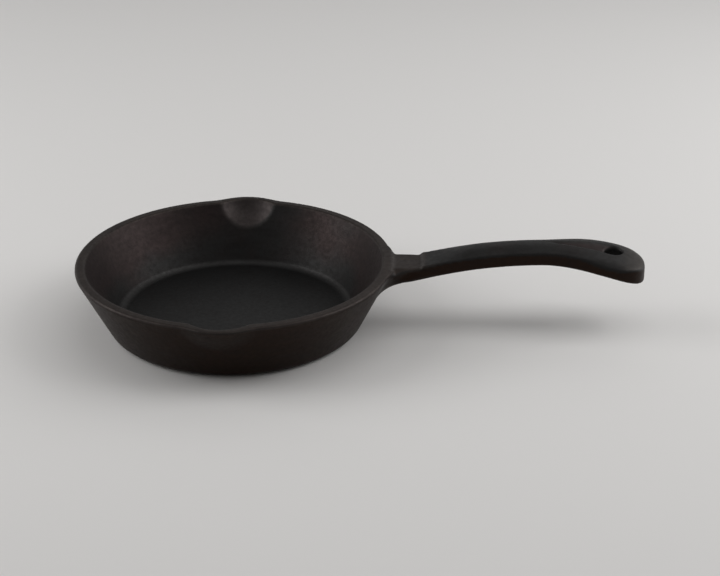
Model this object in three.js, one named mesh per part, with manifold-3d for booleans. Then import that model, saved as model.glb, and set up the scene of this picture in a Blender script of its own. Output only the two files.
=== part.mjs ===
// Cast-iron skillet with two pouring lips and a long arched handle.
//
// The pan and its handle are one casting, so the model is one closed solid.
// Units are millimetres and +Z is up. The origin is the centre of the flat base,
// on the surface that the skillet stands on, and the handle points along +X.

import * as THREE from 'three';
import { mergeVertices } from 'three/addons/utils/BufferGeometryUtils.js';
import Module from 'manifold-3d';

// Pan: the corners of its section are given sharp, and each is then rounded
const RIM_HEIGHT = 35.4;
const RIM_OUTER_RADIUS = 83.4;
const RIM_WIDTH = 6.0;
const RIM_ROUNDING = 1.4;
const OUTER_SLOPE = 0.505; // radius lost for each millimetre down the outside
const INNER_SLOPE = 0.547; // radius lost for each millimetre down the inside
const FLOOR_HEIGHT = 5.0;
const FLOOR_COVE = 3.0;
const BASE_ROUNDING = 6.0;

// Pouring lips, one on each side of the pan at a right angle to the handle
const LIP_REACH_INSIDE = 5.3; // how far a lip's bowl stands out beyond the round wall
const LIP_REACH_OUTSIDE = 4.2;
const LIP_HALF_WIDTH = 15.9;
const LIP_DEPTH = 12.6; // how far down the wall a lip's bowl reaches
const LIP_BLEND = 1.5; // how softly the lip runs into the round rim
const SHALLOWEST_CREASE = 3.0; // depth of the crease's mesh line away from the lips
const RIM_CLEARANCE = 2.4; // the bowl's first mesh line lies this far below the rim

// Handle: its top and bottom edges are parabolas that share one summit
const ROOT_X = 78.4; // where the handle starts, inside the rim
const PAD_END_X = 97.3; // the flat pad beside the rim ends here
const PAD_HEIGHT = RIM_HEIGHT - 0.35;
const SUMMIT_X = 165.0;
const SUMMIT_TOP = 44.2;
const SUMMIT_BOTTOM = 37.2;
const TOP_RISE = 0.00176; // curvature of the top edge towards the pan
const TOP_FALL = 0.0036; // curvature of the top edge towards the tip
const BOTTOM_RISE = 0.00192;
const BOTTOM_FALL = 0.0045;
const ROOT_BOTTOM = 26.0; // the underside goes no lower than this at the pan
const BOTTOM_BLEND = 2.0;
const CROWN = 2.8; // height of the top's crown above its edges
const CROWN_LENGTH = 32.0; // the crown grows over this length past the pad
const NECK_HALF_WIDTH = 9.7; // at the pad
const GRIP_HALF_WIDTH = 9.1; // at the waist past it
const WAIST_X = 128.0;
const TIP_HALF_WIDTH = 16.2;
const WIDENING_START_X = 158.0; // the handle widens from here to the tip's start
const TIP_START_X = 197.0;
const TIP_LENGTH = 16.0;
const TIP_SQUARENESS = 2.35; // exponent of the tip's outline: 2 is an ellipse
const EDGE_ROUNDING = 1.0;
const UNDERSIDE_ROUNDING = 2.2;

// Root flare: sloping shoulders that join the neck to the pan's wall
const SHOULDER_REACH = 3.4;
const SHOULDER_DROP = 3.4;
const SHOULDER_LENGTH = 13.0;

// Thumb scoop: a teardrop dish in the handle's top that runs down into the hanging hole
const SCOOP_START_X = 161.5;
const SCOOP_END_RADIUS = 6.3;
const SCOOP_END_X = 194.8;
const SCOOP_DEPTH = 3.2;
const SCOOP_MARGIN = 0.8; // the cutter is this much wider, where it lies above the metal
const HOLE_RADIUS = 4.7;
const HOLE_X = 196.3;
const CUTTER_CLEARANCE = 4.0; // how far the scoop's cutter stands above the handle's top

// Mesh fineness
const PAN_SEGMENTS = 112;
const LIP_CROWDING = 0.5; // share by which segments crowd towards the lips
const ROUND_STEPS = 3;
const LIP_ROWS = 4;
const CROWN_STEPS = 8;
const PAD_STATIONS = 5;
const PAD_EDGE_LENGTH = 0.6; // the pad's end edge falls between its last station and the grip
const STATION_SPACING = 6.0;
const TIP_STATIONS = 9;
const SCOOP_SIDE_STEPS = 6;
const SCOOP_END_STEPS = 16;
const SCOOP_SHARES = [0.85, 0.6, 0.35, 0.15, 0]; // rings of the dish, as shares of the way in
const HOLE_SEGMENTS = 28;
const TIP_LAST_ANGLE = 0.47 * Math.PI; // leaves a narrow flat at the tip's end
const MERGE_DISTANCE = 1e-4;

// The larger of two values, with a soft change from one to the other
function softMax(a, b, blend) {
  const overlap = Math.max(blend - Math.abs(a - b), 0);
  return Math.max(a, b) + (overlap * overlap) / (4 * blend);
}

// A 0 to 1 ramp that starts and ends level
function ease(value, start, end) {
  return THREE.MathUtils.smoothstep(value, start, end);
}

// Points of the arc that rounds one corner, or the corner itself if its radius is 0.
// Each point is [across, up].
function roundCorner(before, corner, after, radius, steps) {
  if (radius === 0) {
    return [corner];
  }
  const here = new THREE.Vector2(...corner);
  const back = new THREE.Vector2(...before).sub(here).normalize();
  const ahead = new THREE.Vector2(...after).sub(here).normalize();
  const halfAngle = Math.acos(THREE.MathUtils.clamp(back.dot(ahead), -1, 1)) / 2;
  const centre = back.clone().add(ahead).normalize();
  centre.multiplyScalar(radius / Math.sin(halfAngle)).add(here);
  const tangent = radius / Math.tan(halfAngle);
  const start = back.multiplyScalar(tangent).add(here).sub(centre);
  const end = ahead.multiplyScalar(tangent).add(here).sub(centre);
  const turn = Math.atan2(start.cross(end), start.dot(end));
  const points = [];
  for (let step = 0; step <= steps; step += 1) {
    const spoke = start.clone().rotateAround(new THREE.Vector2(), (turn * step) / steps);
    points.push(spoke.add(centre).toArray());
  }
  return points;
}

// A path through corners of the form { at: [across, up], radius }
function roundedPath(corners, closed) {
  const count = corners.length;
  const path = [];
  corners.forEach((corner, index) => {
    const isEnd = !closed && (index === 0 || index === count - 1);
    const before = corners[(index + count - 1) % count].at;
    const after = corners[(index + 1) % count].at;
    const radius = isEnd ? 0 : corner.radius;
    path.push(...roundCorner(before, corner.at, after, radius, ROUND_STEPS));
  });
  return path;
}

// A closed surface over rings of points, with a fan to a tip point at either end.
// The rings run anticlockwise about the direction from the first tip to the last.
function skin(firstTip, rings, lastTip) {
  const count = rings[0].length;
  const points = [firstTip, ...rings.flat(), lastTip];
  const last = points.length - 1;
  const at = (ring, index) => 1 + ring * count + (index % count);
  const faces = [];
  for (let index = 0; index < count; index += 1) {
    faces.push(0, at(0, index + 1), at(0, index));
    for (let ring = 0; ring < rings.length - 1; ring += 1) {
      faces.push(at(ring, index), at(ring, index + 1), at(ring + 1, index + 1));
      faces.push(at(ring, index), at(ring + 1, index + 1), at(ring + 1, index));
    }
    faces.push(last, at(rings.length - 1, index), at(rings.length - 1, index + 1));
  }
  const geometry = new THREE.BufferGeometry();
  geometry.setAttribute('position', new THREE.Float32BufferAttribute(points.flat(), 3));
  geometry.setIndex(faces);
  return geometry;
}

// One side of the wall at one angle, from the rim down to the lip's crease. Each lip is a
// bowl: it stands out by its full reach at the rim and fades into the wall at LIP_DEPTH.
function lipSide(angle, rimRadius, slope, fullReach) {
  const across = (RIM_OUTER_RADIUS * Math.cos(angle)) / LIP_HALF_WIDTH;
  const reach = softMax(fullReach * (1 - across * across), 0, LIP_BLEND);
  const crease = Math.max(LIP_DEPTH * Math.sqrt(reach / fullReach), SHALLOWEST_CREASE);
  const corners = [{ at: [rimRadius + reach, RIM_HEIGHT], radius: RIM_ROUNDING }];
  for (let row = 0; row < LIP_ROWS; row += 1) {
    const depth = THREE.MathUtils.lerp(RIM_CLEARANCE, crease, row / (LIP_ROWS - 1));
    const bulge = Math.max(reach - fullReach * (depth / LIP_DEPTH) ** 2, 0);
    corners.push({ at: [rimRadius + bulge - slope * depth, RIM_HEIGHT - depth], radius: 0 });
  }
  return corners;
}

// The pan's section at one angle, from the base's centre round the rim to the floor's centre
function panProfile(angle) {
  const rimInnerRadius = RIM_OUTER_RADIUS - RIM_WIDTH;
  const baseRadius = RIM_OUTER_RADIUS - OUTER_SLOPE * RIM_HEIGHT;
  const floorRadius = rimInnerRadius - INNER_SLOPE * (RIM_HEIGHT - FLOOR_HEIGHT);
  return roundedPath([
    { at: [0, 0], radius: 0 },
    { at: [baseRadius, 0], radius: BASE_ROUNDING },
    ...lipSide(angle, RIM_OUTER_RADIUS, OUTER_SLOPE, LIP_REACH_OUTSIDE).reverse(),
    ...lipSide(angle, rimInnerRadius, INNER_SLOPE, LIP_REACH_INSIDE),
    { at: [floorRadius, FLOOR_HEIGHT], radius: FLOOR_COVE },
    { at: [0, FLOOR_HEIGHT], radius: 0 },
  ], false);
}

// Angles about the pan's axis, closer together at the two lips
function panAngles() {
  const angles = [];
  for (let index = 0; index < PAN_SEGMENTS; index += 1) {
    const even = (2 * Math.PI * index) / PAN_SEGMENTS;
    angles.push(even + (LIP_CROWDING / 2) * Math.sin(2 * even));
  }
  return angles;
}

function makePan() {
  const angles = panAngles();
  const profiles = angles.map(panProfile);
  const rings = [];
  for (let row = 1; row < profiles[0].length - 1; row += 1) {
    rings.push(angles.map((angle, index) => {
      const [radius, height] = profiles[index][row];
      return [radius * Math.cos(angle), radius * Math.sin(angle), height];
    }));
  }
  return skin([0, 0, 0], rings, [0, 0, FLOOR_HEIGHT]);
}

function topEdgeHeight(x) {
  const curvature = x < SUMMIT_X ? TOP_RISE : TOP_FALL;
  const arch = SUMMIT_TOP - curvature * (x - SUMMIT_X) ** 2;
  return x < PAD_END_X ? PAD_HEIGHT : arch;
}

function undersideHeight(x) {
  const curvature = x < SUMMIT_X ? BOTTOM_RISE : BOTTOM_FALL;
  const arch = SUMMIT_BOTTOM - curvature * (x - SUMMIT_X) ** 2;
  return x < SUMMIT_X ? softMax(arch, ROOT_BOTTOM, BOTTOM_BLEND) : arch;
}

function halfWidth(x) {
  if (x > TIP_START_X) {
    const share = (x - TIP_START_X) / TIP_LENGTH;
    return TIP_HALF_WIDTH * (1 - share ** TIP_SQUARENESS) ** (1 / TIP_SQUARENESS);
  }
  const narrowing = (NECK_HALF_WIDTH - GRIP_HALF_WIDTH) * ease(x, PAD_END_X, WAIST_X);
  const widening = (TIP_HALF_WIDTH - GRIP_HALF_WIDTH) * ease(x, WIDENING_START_X, TIP_START_X);
  return NECK_HALF_WIDTH - narrowing + widening;
}

// Height of the handle's crowned top, before the scoop is cut
function handleTop(x, y) {
  const half = halfWidth(x);
  const fade = x > TIP_START_X ? half / TIP_HALF_WIDTH : 1; // lowers the crown at the tip
  const crown = CROWN * fade * ease(x, PAD_END_X, PAD_END_X + CROWN_LENGTH);
  return topEdgeHeight(x) + crown * (1 - (y / half) ** 2);
}

// The handle's section at one station, anticlockwise about +X
function handleSection(x) {
  const half = halfWidth(x);
  const top = topEdgeHeight(x);
  const bottom = undersideHeight(x);
  const bulk = Math.min(half / GRIP_HALF_WIDTH, 1); // shrinks the roundings at the tip
  const shoulder = SHOULDER_REACH * (1 - ease(x, ROOT_X, ROOT_X + SHOULDER_LENGTH));
  const side = (sign) => [
    { at: [sign * half, bottom], radius: UNDERSIDE_ROUNDING * bulk },
    { at: [sign * (half + shoulder), top - SHOULDER_DROP], radius: 0 },
    { at: [sign * half, top], radius: EDGE_ROUNDING * bulk },
  ];
  const crownPoints = [];
  for (let step = 1; step < CROWN_STEPS; step += 1) {
    const across = half * (1 - (2 * step) / CROWN_STEPS);
    crownPoints.push({ at: [across, handleTop(x, across)], radius: 0 });
  }
  const corners = [...side(1), ...crownPoints, ...side(-1).reverse()];
  return roundedPath(corners, true).map(([across, up]) => [x, across, up]);
}

function handleStations() {
  const stations = [];
  for (let step = 0; step < PAD_STATIONS; step += 1) {
    const share = step / (PAD_STATIONS - 1);
    stations.push(THREE.MathUtils.lerp(ROOT_X, PAD_END_X - PAD_EDGE_LENGTH, share));
  }
  const gripSteps = Math.round((TIP_START_X - PAD_END_X) / STATION_SPACING);
  for (let step = 0; step < gripSteps; step += 1) {
    stations.push(THREE.MathUtils.lerp(PAD_END_X, TIP_START_X, step / gripSteps));
  }
  for (let step = 0; step < TIP_STATIONS; step += 1) {
    const angle = (TIP_LAST_ANGLE * step) / (TIP_STATIONS - 1);
    stations.push(TIP_START_X + TIP_LENGTH * Math.sin(angle) ** (2 / TIP_SQUARENESS));
  }
  return stations;
}

function makeHandle() {
  const stations = handleStations();
  const middle = (x) => [x, 0, (topEdgeHeight(x) + undersideHeight(x)) / 2];
  return skin(middle(stations[0]), stations.map(handleSection), middle(stations.at(-1)));
}

// The cutter's teardrop outline, anticlockwise from its point. Each of its points has the
// centre and radius of the circle that touches the outline there from inside.
function teardrop() {
  const radius = SCOOP_END_RADIUS + SCOOP_MARGIN;
  const taper = Math.asin(SCOOP_END_RADIUS / (SCOOP_END_X - SCOOP_START_X));
  const startX = SCOOP_END_X - radius / Math.sin(taper);
  const sideLength = radius / Math.tan(taper);
  const sidePoint = (step, sign) => {
    const along = (sideLength * step) / SCOOP_SIDE_STEPS;
    return {
      at: [startX + along * Math.cos(taper), sign * along * Math.sin(taper)],
      centreX: startX + along / Math.cos(taper),
      radius: along * Math.tan(taper),
    };
  };
  const outline = [];
  for (let step = 0; step <= SCOOP_SIDE_STEPS; step += 1) {
    outline.push(sidePoint(step, -1));
  }
  const lastTurn = Math.PI / 2 + taper;
  for (let step = 1; step < SCOOP_END_STEPS; step += 1) {
    const turn = THREE.MathUtils.lerp(-lastTurn, lastTurn, step / SCOOP_END_STEPS);
    const at = [SCOOP_END_X + radius * Math.cos(turn), radius * Math.sin(turn)];
    outline.push({ at, centreX: SCOOP_END_X, radius });
  }
  for (let step = SCOOP_SIDE_STEPS; step > 0; step -= 1) {
    outline.push(sidePoint(step, 1));
  }
  return outline;
}

// The scoop's cutter: a dish that deepens from the outline to its middle line
function makeScoopCutter() {
  const outline = teardrop();
  const ringAt = (share) => outline.map(({ at, centreX, radius }) => {
    const x = THREE.MathUtils.lerp(at[0], centreX, share);
    const y = THREE.MathUtils.lerp(at[1], 0, share);
    const inside = (share * radius - SCOOP_MARGIN) / SCOOP_END_RADIUS;
    return [x, y, handleTop(x, y) - SCOOP_DEPTH * inside * (2 - inside)];
  });
  const rings = SCOOP_SHARES.map(ringAt);
  rings.push(rings.at(-1).map(([x, y, z]) => [x, y, z + CUTTER_CLEARANCE]));
  const middle = handleTop(SCOOP_END_X, 0);
  const bottom = [SCOOP_END_X, 0, middle - SCOOP_DEPTH];
  return skin(bottom, rings, [SCOOP_END_X, 0, middle + CUTTER_CLEARANCE]);
}

function makeHoleCutter() {
  const height = 2 * SUMMIT_TOP;
  const cutter = new THREE.CylinderGeometry(HOLE_RADIUS, HOLE_RADIUS, height, HOLE_SEGMENTS);
  return cutter.rotateX(Math.PI / 2).translate(HOLE_X, 0, height / 2);
}

// Booleans work on solids of shared vertices with no normals or texture coordinates
function toSolid(library, geometry) {
  geometry.deleteAttribute('normal');
  geometry.deleteAttribute('uv');
  const merged = mergeVertices(geometry, MERGE_DISTANCE);
  return new library.Manifold(new library.Mesh({
    numProp: 3,
    vertProperties: new Float32Array(merged.attributes.position.array),
    triVerts: new Uint32Array(merged.index.array),
  }));
}

function toGeometry(solid) {
  const mesh = solid.getMesh();
  const geometry = new THREE.BufferGeometry();
  geometry.setAttribute('position', new THREE.BufferAttribute(mesh.vertProperties, 3));
  geometry.setIndex(new THREE.BufferAttribute(mesh.triVerts, 1));
  geometry.computeVertexNormals();
  return geometry;
}

async function makeSkillet() {
  const library = await Module();
  library.setup();
  const pan = toSolid(library, makePan());
  const handle = toSolid(library, makeHandle());
  const scoop = toSolid(library, makeScoopCutter());
  const hole = toSolid(library, makeHoleCutter());
  const handleWithHole = handle.subtract(scoop).subtract(hole);
  const castIron = new THREE.MeshStandardMaterial({
    color: 0x2c2826,
    roughness: 0.55,
    metalness: 0.6,
  });
  const skillet = new THREE.Mesh(toGeometry(pan.add(handleWithHole)), castIron);
  skillet.name = 'skillet';
  return skillet;
}

const group = new THREE.Group();
group.add(await makeSkillet());

export default group;
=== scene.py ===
import math
import bpy
import numpy as np
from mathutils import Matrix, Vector


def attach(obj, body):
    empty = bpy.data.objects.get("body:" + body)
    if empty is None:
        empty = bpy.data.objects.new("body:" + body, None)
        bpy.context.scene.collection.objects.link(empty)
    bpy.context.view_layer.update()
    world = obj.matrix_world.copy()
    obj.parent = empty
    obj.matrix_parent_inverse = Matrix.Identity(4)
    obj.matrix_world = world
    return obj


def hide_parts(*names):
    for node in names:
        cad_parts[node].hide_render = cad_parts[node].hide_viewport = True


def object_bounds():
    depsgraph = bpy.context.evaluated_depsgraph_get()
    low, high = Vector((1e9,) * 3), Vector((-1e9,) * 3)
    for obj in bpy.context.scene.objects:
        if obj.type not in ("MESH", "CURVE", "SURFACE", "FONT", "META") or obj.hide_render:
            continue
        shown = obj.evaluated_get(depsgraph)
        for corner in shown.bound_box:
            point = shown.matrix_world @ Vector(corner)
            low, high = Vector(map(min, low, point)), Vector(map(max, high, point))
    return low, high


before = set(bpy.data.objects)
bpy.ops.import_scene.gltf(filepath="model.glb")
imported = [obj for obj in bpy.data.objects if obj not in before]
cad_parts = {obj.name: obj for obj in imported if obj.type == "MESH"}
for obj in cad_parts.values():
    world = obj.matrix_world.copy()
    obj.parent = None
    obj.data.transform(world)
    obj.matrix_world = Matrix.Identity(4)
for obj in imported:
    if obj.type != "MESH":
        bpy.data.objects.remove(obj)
cad_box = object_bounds()

# The casting's dimensions, in millimetres, as in the CAD. The origin is the centre of the base.
MM = 0.001
RIM_HEIGHT = 35.4
RIM_OUTER_RADIUS = 83.4
RIM_INNER_RADIUS = 77.4
RIM_OUTER_ROUNDING = 2.23
RIM_INNER_ROUNDING = 0.8
OUTER_SLOPE = 0.505          # radius lost for each millimetre down the outside
INNER_SLOPE = 0.547          # radius lost for each millimetre down the inside
FLOOR_HEIGHT = 5.0
FLOOR_COVE = 2.2
BASE_ROUNDING = 3.6
LIP_REACH_INSIDE = 5.3
LIP_REACH_OUTSIDE = 4.05
LIP_HALF_WIDTH = 15.9
LIP_DEPTH = 12.6             # how far down the wall a lip's scoop reaches
LIP_BLEND_INSIDE = 1.0       # how softly a lip runs into the round wall
LIP_BLEND_OUTSIDE = 2.4

ROOT_X = 78.4
PAD_END_X = 97.3
PAD_HEIGHT = RIM_HEIGHT - 0.35
PAD_STEP_LENGTH = 3.0        # the step up from the pad to the grip rises over this length
BEAD_HEIGHT = 0.25           # a slight bead runs across the top of that step
BEAD_X = PAD_END_X + 0.7
BEAD_HALF_LENGTH = 1.0
SUMMIT_X = 165.0
SUMMIT_TOP = 44.2
SUMMIT_BOTTOM = 37.2
TOP_RISE = 0.00176
TOP_FALL = 0.0036
BOTTOM_RISE = 0.00192
BOTTOM_FALL = 0.0045
ROOT_BOTTOM = 26.0
BOTTOM_BLEND = 2.0
CROWN = 2.8
CROWN_LENGTH = 32.0
NECK_HALF_WIDTH = 9.7
GRIP_HALF_WIDTH = 9.1
WAIST_X = 128.0
TIP_HALF_WIDTH = 16.2
WIDENING_START_X = 158.0
TIP_START_X = 197.0
TIP_LENGTH = 15.9
TIP_SQUARENESS = 2.35
TIP_LAST_SHARE = 0.999       # stops just short of the tip's end, where no width is left
EDGE_ROUNDING = 1.0
UNDERSIDE_ROUNDING = 2.2

SCOOP_START_X = 161.5
SCOOP_END_X = 194.8
SCOOP_END_RADIUS = 6.3
SCOOP_DEPTH = 3.2
SCOOP_EDGE_BLEND = 0.45
HOLE_X = 196.3
HOLE_RADIUS = 4.7
HOLE_EDGE_ROUNDING = 1.1

# Root fillet between the handle and the pan's wall, and the shoulder that slopes down over it
ROOT_FILLET_LOW = 9.0
ROOT_FILLET_TOP = 12.5
ROOT_FILLET_RISE = (ROOT_BOTTOM - 2.0, RIM_HEIGHT - 2.0)   # it widens upwards between these heights
SHOULDER_SLOPE = 0.5
SHOULDER_START = 2.0         # the shoulder runs out into the rim between these, beyond the neck
SHOULDER_END = 12.0
SHOULDER_INSET = 0.6         # the slope starts inside the pad's edge
SHOULDER_BLEND = 1.0
SHOULDER_ONSET = 2.0         # the slope is full at this distance from the rim
RIM_STEP = 1.1               # the rim drops to the pad over this distance
GRIP_ROUNDING_START = 86.0   # edges change from the rim's rounding to the grip's between these
GRIP_ROUNDING_END = 94.0

# Surface mesh and the casting's slight unevenness
VOXEL = 0.98                 # gives about 190,000 triangles; the limit is 200,000
PROJECTION_STEPS = 4
RELIEF_STEPS = 3
LONGEST_STEP = 0.8           # the furthest that one projection step moves a point
LEAST_STEEPNESS = 0.05       # of the squared gradient; keeps a step finite where it fades
SMOOTHING_PASSES = 16
SMOOTHING_STRENGTH = 0.6
TINY = 1e-6
PROBE = 0.05                 # step of the numerical gradient
CURVATURE_PROBE = 0.9
RELIEF_HEIGHT = 0.014
RELIEF_WAVES = 28
RELIEF_SHORTEST = 2.6
RELIEF_LONGEST = 9.0
RELIEF_SEED = 11

# Where each finish, painted highlight and painted shade fades in, from its first value to its
# second, or fades out where the name ends in FADE. FACING is the upward part of the surface's
# normal, BEND is the value of bend(), and the rest are in millimetres.
SHADED_SIDE_FACING = (0.4, -0.1)
LEVEL_FACING = (0.5, 0.8)
RIM_FACING = (0.6, 0.85)
SCOOP_FACING = (0.3, 0.6)
LIP_LEAST_FACING = 0.2
COVE_HIGHLIGHT_BEND = (-0.08, -0.18)
EDGE_WEAR_AND_HIGHLIGHT_BEND = (0.12, 0.45)
WARM_CENTRE_X = 4.0
WARM_DISTANCE = (12.0, 52.0)
WARM_HEIGHT = (8.0, 24.0)
COOKING_FLOOR_HEIGHT = (FLOOR_HEIGHT + FLOOR_COVE, FLOOR_HEIGHT)
COOKING_FLOOR_RADIUS = RIM_INNER_RADIUS - INNER_SLOPE * (RIM_HEIGHT - FLOOR_HEIGHT) + FLOOR_COVE
# where the painted highlight inside the pouring lips' bowls lies
LIP_BOWL_DEPTH = (0.15, 0.9)
LIP_BOWL_TOP = RIM_HEIGHT - 0.1
LIP_BOWL_END = RIM_INNER_RADIUS + LIP_REACH_INSIDE + 0.5
RIM_FACE_HEIGHT = (RIM_HEIGHT - 4.0, RIM_HEIGHT - 2.0)
RIM_TINT_FADE = (PAD_END_X, PAD_END_X + 5.0)
EDGE_WEAR_AND_HIGHLIGHT_FADE = (PAD_END_X + 4.0, PAD_END_X + 12.0)
SCOOP_INSET = (0.3, 1.5)
TIP_HIGHLIGHT_SPAN = (HOLE_X, TIP_START_X + TIP_LENGTH)
HOLE_WALL_RADIUS = HOLE_RADIUS + 1.0


def length(x, y):
    return np.sqrt(x * x + y * y)


def soft_max(a, b, blend):
    """The larger of two values, with a rounded change from one to the other."""
    overlap = np.maximum(blend - np.abs(a - b), 0.0)
    return np.maximum(a, b) + overlap * overlap / (4.0 * blend)


def both(a, b, radius):
    """Where two solids overlap, with the edge between them rounded."""
    inside = np.minimum(-radius, np.maximum(a, b))
    return inside + length(np.maximum(a + radius, 0.0), np.maximum(b + radius, 0.0))


def either(a, b, radius):
    """Two solids joined, with a fillet between them."""
    return -both(-a, -b, radius)


def ease(value, start, end):
    """0 before start, 1 after end and smooth between. The start may be the larger of the two."""
    share = np.clip((value - start) / (end - start), 0.0, 1.0)
    return share * share * (3.0 - 2.0 * share)


def pan_wall(x, y, z, rim_radius, slope, lip_reach, blend):
    """Distance from the cone of one side of the wall, with the bowls of its lips."""
    radius = length(x, y)
    depth = RIM_HEIGHT - z
    across = RIM_OUTER_RADIUS * x / np.maximum(radius, 1.0)
    bowl = lip_reach * (1.0 - (depth / LIP_DEPTH) ** 2 - (across / LIP_HALF_WIDTH) ** 2)
    bulge = soft_max(bowl, 0.0 * x, blend)
    return (radius - rim_radius - bulge + slope * depth) / math.hypot(1.0, slope)


def pan_outside(x, y, z):
    wall = pan_wall(x, y, z, RIM_OUTER_RADIUS, OUTER_SLOPE, LIP_REACH_OUTSIDE, LIP_BLEND_OUTSIDE)
    return both(wall, -z, BASE_ROUNDING)


def pan_inside(x, y, z):
    wall = pan_wall(x, y, z, RIM_INNER_RADIUS, INNER_SLOPE, LIP_REACH_INSIDE, LIP_BLEND_INSIDE)
    return both(wall, FLOOR_HEIGHT - z, FLOOR_COVE)


def half_width(x):
    """Half the handle's width at x, before the tip's rounded end."""
    narrowing = (NECK_HALF_WIDTH - GRIP_HALF_WIDTH) * ease(x, PAD_END_X, WAIST_X)
    widening = (TIP_HALF_WIDTH - GRIP_HALF_WIDTH) * ease(x, WIDENING_START_X, TIP_START_X)
    return NECK_HALF_WIDTH - narrowing + widening


def tip_narrowing(x):
    """The width that is left at x, as a share of the width where the tip starts."""
    share = np.clip((x - TIP_START_X) / TIP_LENGTH, 0.0, TIP_LAST_SHARE)
    return (1.0 - share ** TIP_SQUARENESS) ** (1.0 / TIP_SQUARENESS)


def arch(x, summit, rise, fall):
    """Height of the handle's arch at x, which bends more steeply beyond its summit."""
    return summit - np.where(x < SUMMIT_X, rise, fall) * (x - SUMMIT_X) ** 2


def teardrop(x, y):
    """Plan distance from the thumb scoop's outline: a point that widens into a round end."""
    reach = SCOOP_END_X - SCOOP_START_X
    sine = SCOOP_END_RADIUS / reach
    cosine = math.sqrt(1.0 - sine * sine)
    ahead = x - SCOOP_START_X
    line = np.abs(y) * cosine - ahead * sine
    circle = length(x - SCOOP_END_X, y) - SCOOP_END_RADIUS
    return np.where(ahead * cosine + np.abs(y) * sine > reach * cosine, circle, line)


def handle_top(x, y):
    """Height of the handle's top: pad, step, crowned grip and thumb scoop, with its shoulders."""
    half = half_width(x)
    share = np.clip(np.abs(y) / (half * tip_narrowing(x)), 0.0, 1.0)
    crown = CROWN * tip_narrowing(x) * ease(x, PAD_END_X, PAD_END_X + CROWN_LENGTH)
    step = ease(x, PAD_END_X - PAD_STEP_LENGTH / 2.0, PAD_END_X + PAD_STEP_LENGTH / 2.0)
    edge = PAD_HEIGHT + (arch(x, SUMMIT_TOP, TOP_RISE, TOP_FALL) - PAD_HEIGHT) * step
    edge += BEAD_HEIGHT * np.exp(-((x - BEAD_X) / BEAD_HALF_LENGTH) ** 2)
    scoop = soft_max(-teardrop(x, y), 0.0 * x, SCOOP_EDGE_BLEND) / SCOOP_END_RADIUS
    scoop = np.minimum(scoop, 1.0)
    shoulder = soft_max(np.abs(y) - half + SHOULDER_INSET, 0.0 * x, SHOULDER_BLEND)
    shoulder *= SHOULDER_SLOPE * (1.0 - ease(x, ROOT_X, WAIST_X))
    shoulder *= ease(length(x, y), RIM_OUTER_RADIUS - RIM_STEP, RIM_OUTER_RADIUS + SHOULDER_ONSET)
    return edge + crown * (1.0 - share * share) - SCOOP_DEPTH * scoop * (2.0 - scoop) - shoulder


def top_height(x, y):
    """The casting's upper surface: the rim, and the handle outside it."""
    outward = ease(length(x, y), RIM_OUTER_RADIUS - RIM_STEP, RIM_OUTER_RADIUS) * (x > 0.0)
    beside = ease(np.abs(y), NECK_HALF_WIDTH + SHOULDER_END, NECK_HALF_WIDTH + SHOULDER_START)
    return RIM_HEIGHT + (handle_top(x, y) - RIM_HEIGHT) * outward * beside


def handle_bottom(x):
    curve = arch(x, SUMMIT_BOTTOM, BOTTOM_RISE, BOTTOM_FALL)
    return np.where(x < SUMMIT_X, soft_max(curve, ROOT_BOTTOM + 0.0 * x, BOTTOM_BLEND), curve)


def handle_side(x, y):
    """Plan distance from the handle's outline, roughly, positive outside."""
    beyond = np.maximum((x - TIP_START_X) / TIP_LENGTH, 0.0)
    half = half_width(x)
    across = np.abs(y) / half
    plan = (across ** TIP_SQUARENESS + beyond ** TIP_SQUARENESS) ** (1.0 / TIP_SQUARENESS)
    return half * (plan - 1.0)


def handle_body(x, y, z):
    """The handle without its top: its plan outline above its arched underside."""
    body = both(handle_side(x, y), handle_bottom(x) - z, UNDERSIDE_ROUNDING)
    return np.maximum(body, ROOT_X - x)


def relief_waves():
    random = np.random.default_rng(RELIEF_SEED)
    directions = random.normal(size=(RELIEF_WAVES, 3))
    directions /= np.linalg.norm(directions, axis=1)[:, None]
    lengths = np.geomspace(RELIEF_SHORTEST, RELIEF_LONGEST, RELIEF_WAVES)
    phases = random.uniform(0.0, 2.0 * math.pi, RELIEF_WAVES)
    return directions * (2.0 * math.pi / lengths)[:, None], phases


WAVES, PHASES = relief_waves()


def relief(points):
    """The sand mould's slight unevenness: how far the metal lies below the true surface."""
    height = np.zeros(len(points))
    for wave, phase in zip(WAVES, PHASES):
        height += np.sin(points @ wave + phase)
    return RELIEF_HEIGHT * (1.0 + np.tanh(height / math.sqrt(RELIEF_WAVES)))


def casting(points):
    """Signed distance from the casting's surface, positive outside."""
    x, y, z = points.T
    widening = (ROOT_FILLET_TOP - ROOT_FILLET_LOW) * ease(z, *ROOT_FILLET_RISE)
    fillet = ROOT_FILLET_LOW + widening
    outside = either(pan_outside(x, y, z), handle_body(x, y, z), fillet)
    grip = ease(length(x, y), GRIP_ROUNDING_START, GRIP_ROUNDING_END) * (x > 0.0)
    rounding = RIM_OUTER_ROUNDING + (EDGE_ROUNDING - RIM_OUTER_ROUNDING) * grip
    solid = both(outside, z - top_height(x, y), rounding)
    solid = both(solid, HOLE_RADIUS - length(x - HOLE_X, y), HOLE_EDGE_ROUNDING)
    return both(solid, -pan_inside(x, y, z), RIM_INNER_ROUNDING)


def surface(points):
    return casting(points) + relief(points)


def gradient(function, points):
    """The function's slope along each axis, from central differences."""
    slopes = []
    for axis in np.eye(3) * PROBE:
        slopes.append((function(points + axis) - function(points - axis)) / (2.0 * PROBE))
    return np.stack(slopes, axis=1)


def onto_surface(function, points, steps):
    """Moves each point down the gradient to where the function is zero."""
    for _ in range(steps):
        slope = gradient(function, points)
        steepness = np.sqrt(np.maximum((slope * slope).sum(axis=1), LEAST_STEEPNESS))
        move = np.clip(function(points) / steepness, -LONGEST_STEP, LONGEST_STEP)
        points = points - slope * (move / steepness)[:, None]
    return points


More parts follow.
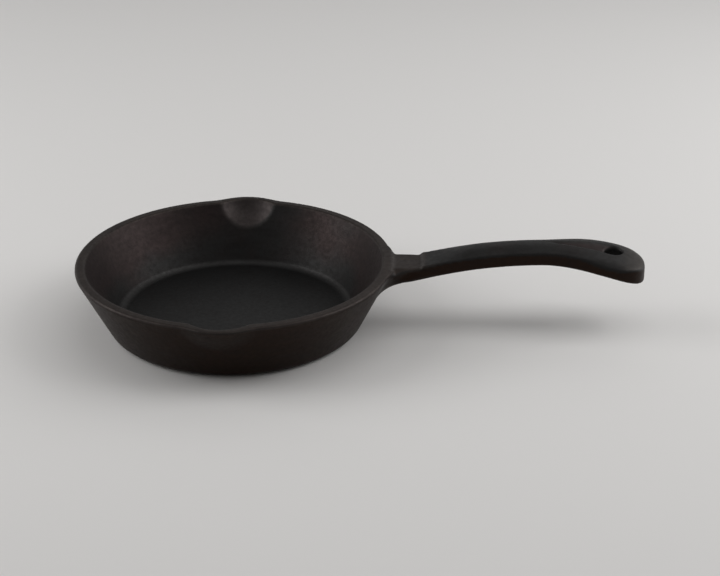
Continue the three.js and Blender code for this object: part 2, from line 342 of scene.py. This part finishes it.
def evened_out(points, edges):
    """Slides each point along the surface towards the middle of its neighbours."""
    count = len(points)
    ends = np.concatenate([edges[:, 0], edges[:, 1]])
    others = np.concatenate([edges[:, 1], edges[:, 0]])
    share = 1.0 / np.maximum(np.bincount(ends, minlength=count), 1)
    middle = [np.bincount(ends, weights=points[others, axis], minlength=count) for axis in range(3)]
    move = np.stack(middle, axis=1) * share[:, None] - points
    slope = gradient(casting, points)
    slope /= np.maximum(np.linalg.norm(slope, axis=1), TINY)[:, None]
    move -= slope * (move * slope).sum(axis=1)[:, None]
    return points + SMOOTHING_STRENGTH * move


def bend(points):
    """How the surface curves, from -1 to 1: above 0 on a rounded edge, below 0 in a concave corner.
    """
    probes = np.eye(3) * CURVATURE_PROBE
    curve = -2.0 * len(probes) * casting(points)
    for axis in probes:
        curve += casting(points + axis) + casting(points - axis)
    return np.tanh(curve / CURVATURE_PROBE)


def surface_marks(points):
    """Where the finish differs, and where painted highlights and painted shade go: shares from 0 to
    1 for each point of the mesh.
    """
    x, y, z = points.T
    radius = length(x, y)
    curve = bend(points)
    slope = gradient(casting, points)
    upward = slope[:, 2] / np.linalg.norm(slope, axis=1)
    facing_up = ease(upward, *LEVEL_FACING)
    from_hole = length(x - HOLE_X, y)
    in_pan = (radius < COOKING_FLOOR_RADIUS) * (z > FLOOR_HEIGHT / 2.0)
    beyond_wall = radius - RIM_INNER_RADIUS + INNER_SLOPE * (RIM_HEIGHT - z)
    in_lip = (radius < LIP_BOWL_END) * (z < LIP_BOWL_TOP) * (upward > LIP_LEAST_FACING)
    warm = ease(np.abs(x - WARM_CENTRE_X), *WARM_DISTANCE) * ease(z, *WARM_HEIGHT)
    on_rim = ease(z, *RIM_FACE_HEIGHT) * ease(upward, *RIM_FACING)
    # painted highlights: a bright line along the bead at the pad's end and along the rim's edge
    # across the pad
    bead = np.exp(-((x - BEAD_X) / BEAD_HALF_LENGTH) ** 2)
    rim_line_highlight = np.exp(-((radius - RIM_OUTER_RADIUS + RIM_STEP / 2.0) / RIM_STEP) ** 2)
    pad_line_highlight = rim_line_highlight * (x > ROOT_X) * (np.abs(y) < NECK_HALF_WIDTH + SHOULDER_START)
    return {
        # browner seasoning and painted shade: surfaces that face sideways or down are made darker
        # and browner
        "outside": ease(upward, *SHADED_SIDE_FACING) * (from_hole > HOLE_WALL_RADIUS),
        "warm_wall": warm * (radius < RIM_OUTER_RADIUS),
        "cooking_floor": ease(z, *COOKING_FLOOR_HEIGHT) * in_pan,
        # painted highlight: the concave ring where the floor meets the wall is made lighter
        "cove_highlight": ease(curve, *COVE_HIGHLIGHT_BEND) * in_pan,
        # painted highlight: the bowls inside the pouring lips are made lighter
        "lip_bowl_highlight": ease(beyond_wall, *LIP_BOWL_DEPTH) * in_lip,
        "rim": on_rim * (1.0 - ease(x, *RIM_TINT_FADE)),
        # wear and painted highlight: rounded edges are made lighter, as far as the pad's end
        "worn_edge_and_highlight": ease(curve, *EDGE_WEAR_AND_HIGHLIGHT_BEND) * (1.0 - ease(x, *EDGE_WEAR_AND_HIGHLIGHT_FADE)),
        "scoop": ease(-teardrop(x, y), *SCOOP_INSET) * ease(upward, *SCOOP_FACING),
        "ridge_highlight": np.maximum(bead, pad_line_highlight) * facing_up,
        # painted highlight: the top of the handle's tip, beyond the hole, is made lighter
        "tip": ease(x, *TIP_HIGHLIGHT_SPAN) * facing_up,
    }


def store(mesh, name, values):
    attribute = mesh.attributes.new(name, "FLOAT", "POINT")
    attribute.data.foreach_set("value", values)


def voxel_copy(source):
    """A new piece with the shape of a CAD object, in an even mesh."""
    piece = bpy.data.objects.new("skillet_casting", source.data.copy())
    bpy.context.scene.collection.objects.link(piece)
    remesh = piece.modifiers.new("voxels", "REMESH")
    remesh.mode = "VOXEL"
    remesh.voxel_size = VOXEL * MM
    remesh.adaptivity = 0.0
    shape = piece.evaluated_get(bpy.context.evaluated_depsgraph_get())
    mesh = bpy.data.meshes.new_from_object(shape)
    piece.modifiers.clear()
    piece.data = mesh
    mesh.name = "skillet_casting"
    return piece


def make_skillet():
    piece = voxel_copy(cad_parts["skillet"])
    mesh = piece.data
    flat = np.empty(len(mesh.vertices) * 3)
    mesh.vertices.foreach_get("co", flat)
    points = flat.reshape(-1, 3) / MM
    links = np.empty(len(mesh.edges) * 2, dtype=np.int64)
    mesh.edges.foreach_get("vertices", links)
    links = links.reshape(-1, 2)

    points = onto_surface(casting, points, PROJECTION_STEPS)
    for _ in range(SMOOTHING_PASSES):
        points = onto_surface(casting, evened_out(points, links), 1)
    marks = surface_marks(points)
    points = onto_surface(surface, points, RELIEF_STEPS)
    mesh.vertices.foreach_set("co", (points * MM).ravel())
    mesh.update()

    for name, values in marks.items():
        store(mesh, name, values)
    mesh.polygons.foreach_set("use_smooth", [True] * len(mesh.polygons))
    slope = gradient(surface, points)
    slope /= np.linalg.norm(slope, axis=1)[:, None]
    mesh.normals_split_custom_set_from_vertices(slope)

    mesh.materials.clear()
    mesh.materials.append(cast_iron())
    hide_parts("skillet")
    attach(piece, "root")


def node(tree, kind, **settings):
    """A new shader node. A setting is an input where there is one, or else a property."""
    made = tree.nodes.new(kind)
    for name, value in settings.items():
        if name in made.inputs:
            made.inputs[name].default_value = value
        else:
            setattr(made, name, value)
    return made


def noise(tree, coordinates, scale, detail, roughness):
    made = node(tree, "ShaderNodeTexNoise", Scale=scale, Detail=detail, Roughness=roughness)
    tree.links.new(coordinates, made.inputs["Vector"])
    return made.outputs["Fac"]


def mark(tree, name):
    """The share that surface_marks() stored under this name."""
    return node(tree, "ShaderNodeAttribute", attribute_name=name).outputs["Fac"]


def ramp(tree, value, low, high, to_low, to_high):
    """The value, with the range from low to high turned into to_low to to_high."""
    made = node(tree, "ShaderNodeMapRange")
    tree.links.new(value, made.inputs["Value"])
    made.inputs["From Min"].default_value = low
    made.inputs["From Max"].default_value = high
    made.inputs["To Min"].default_value = to_low
    made.inputs["To Max"].default_value = to_high
    return made.outputs["Result"]


def mixed(tree, share, first, second):
    """A colour between the first and the second; each is a tuple or an output socket."""
    made = node(tree, "ShaderNodeMix", data_type="RGBA")
    tree.links.new(share, made.inputs["Factor"])
    for value, socket in ((first, made.inputs["A"]), (second, made.inputs["B"])):
        if isinstance(value, tuple):
            socket.default_value = (*value, 1.0)
        else:
            tree.links.new(value, socket)
    return made.outputs["Result"]


# Reflectances of the seasoned iron, some of them painted highlights and painted shade. Each is mixed
# in by its share where its mark is 1.
NEUTRAL_IRON = (0.0240, 0.0234, 0.0232)
WARM_IRON = (0.0315, 0.0232, 0.0224)
DARK_IRON = (0.0120, 0.0100, 0.0095)
FINISHES = (
    # surfaces facing sideways or down: browner seasoning and painted shade
    ("outside", 0.95, (0.0185, 0.0088, 0.0048)),
    ("cooking_floor", 1.0, (0.0215, 0.0215, 0.0215)),
    # painted highlight: a lighter ring in the fillet between the floor and the wall
    ("cove_highlight", 0.9, (0.0300, 0.0293, 0.0290)),
    # painted highlight: lighter colour in the pouring lips' bowls
    ("lip_bowl_highlight", 0.9, (0.0455, 0.0380, 0.0370)),
    ("rim", 0.8, (0.0330, 0.0242, 0.0205)),
    # rounded edges: lighter from wear and from a painted highlight
    ("worn_edge_and_highlight", 0.5, (0.0400, 0.0340, 0.0310)),
    ("scoop", 0.8, (0.0275, 0.0205, 0.0200)),
    # painted highlight on the bead and on the rim's edge across the pad
    ("ridge_highlight", 0.8, (0.0700, 0.0620, 0.0590)),
    # painted highlight on the top of the handle's tip
    ("tip", 0.9, (0.0660, 0.0590, 0.0540)),
)

# Noise patterns in the iron: scale for each metre, detail, roughness
PATCHES = (26.0, 3.0, 0.5)
MOTTLE = (420.0, 4.0, 0.6)
GRAIN = (1500.0, 3.0, 0.6)
STREAKS = (190.0, 3.0, 0.5)
STREAK_STRETCH = (0.35, 0.35, 1.6)      # long along the floor and the wall, thin in height

# How the patterns act: the range of the pattern that is used, and what it is turned into
WARM_WALL_WEIGHT = 0.35
WARMTH_RANGE = (0.50, 0.80)
STREAK_RANGE = (0.45, 0.70)
DARK_MOTTLE_RANGE = (0.42, 0.72)
DARKENING = 0.30
GLOSS_MOTTLE_RANGE = (0.3, 0.7)
ROUGHNESS_RANGE = (0.46, 0.56)
SPECULAR = 0.3
METALLIC = 0.85
MOTTLE_BUMP = {"Strength": 0.5, "Distance": 0.00008}
GRAIN_BUMP = {"Strength": 0.6, "Distance": 0.00004}


def cast_iron():
    """Seasoned cast iron: baked-on oil over a sand-cast surface, with painted highlights and painted
    shade in its colour.
    """
    material = bpy.data.materials.new("seasoned_cast_iron")
    material.use_nodes = True
    tree = material.node_tree
    shader = tree.nodes["Principled BSDF"]
    coordinates = tree.nodes.new("ShaderNodeTexCoord").outputs["Object"]

    patches = noise(tree, coordinates, *PATCHES)
    mottle = noise(tree, coordinates, *MOTTLE)
    grain = noise(tree, coordinates, *GRAIN)
    layers = node(tree, "ShaderNodeMapping", Scale=STREAK_STRETCH)
    tree.links.new(coordinates, layers.inputs["Vector"])
    streaks = noise(tree, layers.outputs["Vector"], *STREAKS)

    warmth = node(tree, "ShaderNodeMath", operation="MULTIPLY_ADD")
    tree.links.new(mark(tree, "warm_wall"), warmth.inputs[0])
    warmth.inputs[1].default_value = WARM_WALL_WEIGHT
    tree.links.new(patches, warmth.inputs[2])
    warm_share = ramp(tree, warmth.outputs["Value"], *WARMTH_RANGE, 0.0, 1.0)
    colour = mixed(tree, warm_share, NEUTRAL_IRON, WARM_IRON)
    for name, most, tint in FINISHES:
        share = ramp(tree, mark(tree, name), 0.0, 1.0, 0.0, most)
        colour = mixed(tree, share, colour, tint)
    for pattern, used in ((streaks, STREAK_RANGE), (mottle, DARK_MOTTLE_RANGE)):
        share = ramp(tree, pattern, *used, 0.0, DARKENING)
        colour = mixed(tree, share, colour, DARK_IRON)
    tree.links.new(colour, shader.inputs["Base Color"])

    roughness = ramp(tree, mottle, *GLOSS_MOTTLE_RANGE, *ROUGHNESS_RANGE)
    tree.links.new(roughness, shader.inputs["Roughness"])
    shader.inputs["Specular IOR Level"].default_value = SPECULAR
    shader.inputs["Metallic"].default_value = METALLIC

    coarse = node(tree, "ShaderNodeBump", **MOTTLE_BUMP)
    tree.links.new(mottle, coarse.inputs["Height"])
    fine = node(tree, "ShaderNodeBump", **GRAIN_BUMP)
    tree.links.new(grain, fine.inputs["Height"])
    tree.links.new(coarse.outputs["Normal"], fine.inputs["Normal"])
    tree.links.new(fine.outputs["Normal"], shader.inputs["Normal"])
    return material


# The studio, in metres
STAGE_REACH = 6.0
STAGE_COLOUR = (0.72, 0.71, 0.70, 1.0)
STAGE_ROUGHNESS = 0.9
STAGE_SPECULAR = 0.1
WORLD_COLOUR = (1.0, 0.99, 0.98, 1.0)
WORLD_STRENGTH = 0.25


def make_floor():
    reach = STAGE_REACH
    corners = [(-reach, -reach, 0), (reach, -reach, 0), (reach, reach, 0), (-reach, reach, 0)]
    mesh = bpy.data.meshes.new("floor")
    mesh.from_pydata(corners, [], [(0, 1, 2, 3)])
    floor = bpy.data.objects.new("floor", mesh)
    bpy.context.scene.collection.objects.link(floor)
    material = bpy.data.materials.new("pale_floor")
    material.use_nodes = True
    shader = material.node_tree.nodes["Principled BSDF"]
    shader.inputs["Base Color"].default_value = STAGE_COLOUR
    shader.inputs["Roughness"].default_value = STAGE_ROUGHNESS
    shader.inputs["Specular IOR Level"].default_value = STAGE_SPECULAR
    mesh.materials.append(material)


def make_world():
    world = bpy.data.worlds.new("studio")
    bpy.context.scene.world = world
    world.use_nodes = True
    background = world.node_tree.nodes["Background"]
    background.inputs["Color"].default_value = WORLD_COLOUR
    background.inputs["Strength"].default_value = WORLD_STRENGTH


def direction(azimuth, elevation):
    """A unit vector: azimuth from +X towards +Y and elevation, in degrees."""
    turn = math.radians(azimuth)
    rise = math.radians(elevation)
    return Vector((math.cos(turn) * math.cos(rise), math.sin(turn) * math.cos(rise), math.sin(rise)))


# Soft boxes around the object: name, azimuth and elevation in degrees, power in watts
SOFT_BOXES = (
    ("right_box", 0.0, 38.0, 2.4),
    ("right_high_box", 0.0, 58.0, 0.9),
    ("right_low_box", 20.0, 18.0, 1.95),
    ("right_back_box", 50.0, 38.0, 0.7),
    ("back_box", 90.0, 33.0, 0.4),
    ("left_back_box", 135.0, 18.0, 0.5),
    ("left_low_box", 180.0, 18.0, 2.2),
    ("left_box", 180.0, 38.0, 2.2),
    ("top_box", 0.0, 89.0, 0.7),
)
SOFT_BOX_SIZE = 0.55
SOFT_BOX_DISTANCE = 1.0
SOFT_BOX_AIM = (0.05, 0.0, 0.02)


def make_soft_box(name, azimuth, elevation, power):
    light = bpy.data.lights.new(name, "AREA")
    light.shape = "SQUARE"
    light.size = SOFT_BOX_SIZE
    light.energy = power
    lamp = bpy.data.objects.new(name, light)
    bpy.context.scene.collection.objects.link(lamp)
    outward = direction(azimuth, elevation)
    lamp.location = Vector(SOFT_BOX_AIM) + outward * SOFT_BOX_DISTANCE
    lamp.rotation_euler = (-outward).to_track_quat("-Z", "Y").to_euler()


# The camera, at the photograph's viewing angle, with its azimuth measured as the soft boxes' is
CAMERA_AZIMUTH = -88.2
CAMERA_ELEVATION = 25.2
CAMERA_DISTANCE = 0.899
CAMERA_LENS = 85.75
CAMERA_SENSOR = 36.0
TARGET_SHIFT = 0.0003        # the target lies this far past the middle of the skillet's length
TARGET_HEIGHT = 0.413        # and at this share of its height


def make_camera():
    low, high = (Vector(corner) for corner in cad_box)
    target = Vector(((low.x + high.x) / 2 + TARGET_SHIFT, 0.0, high.z * TARGET_HEIGHT))
    back = direction(CAMERA_AZIMUTH, CAMERA_ELEVATION)
    camera = bpy.data.cameras.new("camera")
    camera.sensor_width = CAMERA_SENSOR
    camera.lens = CAMERA_LENS
    viewer = bpy.data.objects.new("camera", camera)
    bpy.context.scene.collection.objects.link(viewer)
    viewer.location = target + back * CAMERA_DISTANCE
    viewer.rotation_euler = (-back).to_track_quat("-Z", "Y").to_euler()
    bpy.context.scene.camera = viewer


make_camera()
make_skillet()
make_floor()
make_world()
for soft_box in SOFT_BOXES:
    make_soft_box(*soft_box)
bpy.context.scene.view_settings.view_transform = "Standard"
